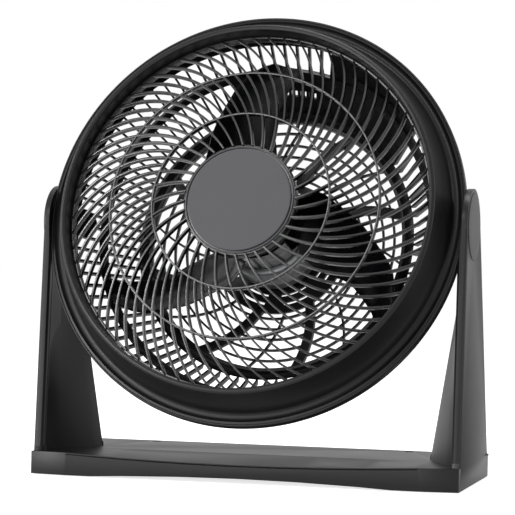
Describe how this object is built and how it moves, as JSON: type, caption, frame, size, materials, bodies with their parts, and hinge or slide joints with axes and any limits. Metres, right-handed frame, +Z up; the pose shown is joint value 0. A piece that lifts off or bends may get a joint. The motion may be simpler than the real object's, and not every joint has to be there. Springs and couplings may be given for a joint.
{
  "type": "air circulator fan",
  "caption": "Tabletop air circulator: a round guarded head with a spiral front grille, tilting between the two arms of a U-shaped stand, with a speed knob at the rear.",
  "frame": {"origin": "on the floor, under the middle of the whole fan's bounding box, head in its resting tilt", "axes": "+X across the fan to the right-hand arm as seen from the front, -Y the front that the air leaves from, +Z up"},
  "size_m": [0.3824, 0.1963, 0.4071],
  "materials": {
    "body_plastic": "fine-textured black ABS",
    "blade_plastic": "glossy black",
    "badge_plastic": "satin mid grey",
    "cap_plastic": "satin dark grey",
    "foot_rubber": "moulded black rubber",
    "fixing_steel": "zinc-plated",
    "core_steel": "bare machined steel",
    "motor_aluminium": "die cast",
    "winding_copper": "enamelled copper wire",
    "bush_bronze": "sintered bronze",
    "switch_plastic": "off-white nylon"
  },
  "bodies": {
    "stand": {"stand_frame": "body_plastic", "rubber_feet": "foot_rubber", "pivot_cap_right": "cap_plastic", "pivot_cap_left": "cap_plastic", "pivot_washers": "fixing_steel"},
    "head": {"pivot_bolts": "fixing_steel", "front_shroud": "body_plastic", "front_grille": "body_plastic", "badge": "badge_plastic", "badge_ring": "badge_plastic", "rear_housing": "body_plastic", "housing_screws": "fixing_steel", "motor_cover": "body_plastic", "cable_gland": "foot_rubber", "motor_bell_rear": "motor_aluminium", "motor_bell_front": "motor_aluminium", "stator_core": "core_steel", "stator_winding": "winding_copper", "rear_bearing": "bush_bronze", "front_bearing": "bush_bronze", "motor_screws": "fixing_steel", "pod_cover": "body_plastic", "pod_screws": "fixing_steel", "speed_switch": "switch_plastic", "switch_nut": "fixing_steel", "capacitor": "switch_plastic", "terminal_block": "switch_plastic"},
    "fan": {"fan_blade": "blade_plastic", "motor_shaft": "core_steel", "drive_pin": "fixing_steel", "rotor_core": "core_steel", "blade_nut": "blade_plastic"},
    "knob": {"switch_spindle": "core_steel", "speed_knob": "cap_plastic"}
  },
  "joints": [
    {"name": "head_tilt", "type": "hinge", "parent": "stand", "child": "head", "pos_m": [0, 0.0045, 0.2228], "axis": [-1, 0, 0], "range_deg": [-37, 73]},
    {"name": "fan_spin", "type": "hinge", "parent": "head", "child": "fan", "pos_m": [0, 0.0045, 0.2228], "axis": [0, -0.957, 0.2902], "continuous": true},
    {"name": "speed_knob_turn", "type": "hinge", "parent": "head", "child": "knob", "pos_m": [0.08699, 0.06507, 0.32955], "axis": [0.465, 0.7711, 0.4349], "range_deg": [0, 135]}
  ]
}
